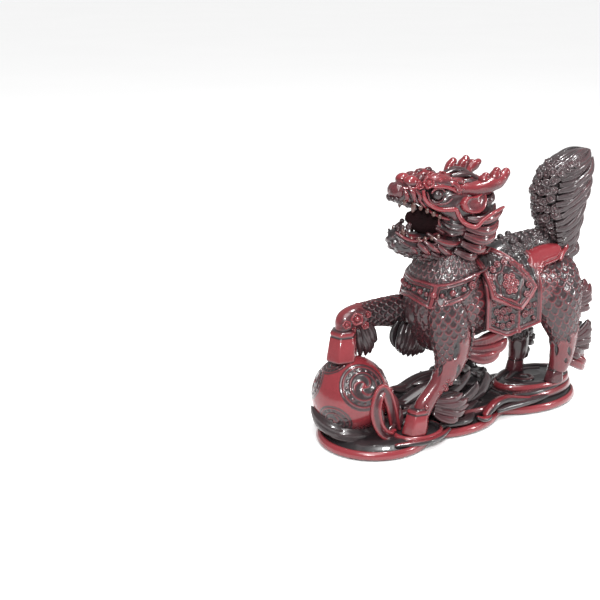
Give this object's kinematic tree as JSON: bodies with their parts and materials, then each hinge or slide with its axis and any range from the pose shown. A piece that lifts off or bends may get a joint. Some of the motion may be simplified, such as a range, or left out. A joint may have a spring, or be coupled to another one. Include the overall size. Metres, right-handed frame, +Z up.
{
  "type": "guardian beast statue",
  "caption": "Guardian beast statue in glossy dark red cast resin: antlered dragon head, scaled body, hooves, saddle cloth and plumed tail, one forefoot on a ball, on a cloud plinth.",
  "frame": {"origin": "on the table, under the middle of the plinth's outline", "axes": "+Z up; the beast faces -X, its tail is towards +X, and its left side is towards -Y"},
  "size_m": [0.186, 0.066, 0.1598],
  "materials": {
    "red_resin": "glossy dark red cast resin, with black stain left in the hollows",
    "dark_resin": "glossy cast resin, stained nearly black, rubbed back to red on its high edges",
    "scaled_resin": "glossy dark red cast resin with carved scales and black stain between them",
    "relief_resin": "glossy dark red cast resin with carved relief and black stain in its ground",
    "pin_steel": "plain drawn steel",
    "felt": "pressed green wool felt"
  },
  "bodies": {
    "root": {"back_curls": "red_resin", "ball": "relief_resin", "ball_cradle": "dark_resin", "ball_pin": "pin_steel", "ball_ribbon": "red_resin", "beard": "red_resin", "chest_tuft": "red_resin", "collar": "relief_resin", "crupper_cover": "red_resin", "eyes": "red_resin", "felt_sheet": "felt", "head_dowel": "pin_steel", "hoof_pins": "pin_steel", "left_antler": "red_resin", "left_brow": "red_resin", "left_ear": "red_resin", "left_elbow_tuft": "red_resin", "left_fetlock_tuft": "red_resin", "left_fore_hoof": "red_resin", "left_fore_leg": "scaled_resin", "left_heel_tuft": "red_resin", "left_hind_hoof": "red_resin", "left_hind_leg": "scaled_resin", "left_hock_tuft": "red_resin", "left_thigh_tuft": "red_resin", "lower_jaw": "red_resin", "lower_teeth": "red_resin", "mane": "red_resin", "middle_cloud": "dark_resin", "neck": "scaled_resin", "nose": "red_resin", "plinth": "dark_resin", "rear_rock": "dark_resin", "right_antler": "red_resin", "right_brow": "red_resin", "right_ear": "red_resin", "right_fore_hoof": "red_resin", "right_fore_leg": "scaled_resin", "right_hind_hoof": "red_resin", "right_hind_leg": "scaled_resin", "right_hock_tuft": "red_resin", "right_knee_tuft": "red_resin", "saddle_cloth": "relief_resin", "saddle_flap": "relief_resin", "saddle_pommel": "red_resin", "skull": "red_resin", "tail": "red_resin", "tail_dowel": "pin_steel", "tongue": "red_resin", "torso": "scaled_resin", "upper_teeth": "red_resin", "wave_crest": "dark_resin"}
  },
  "joints": []
}
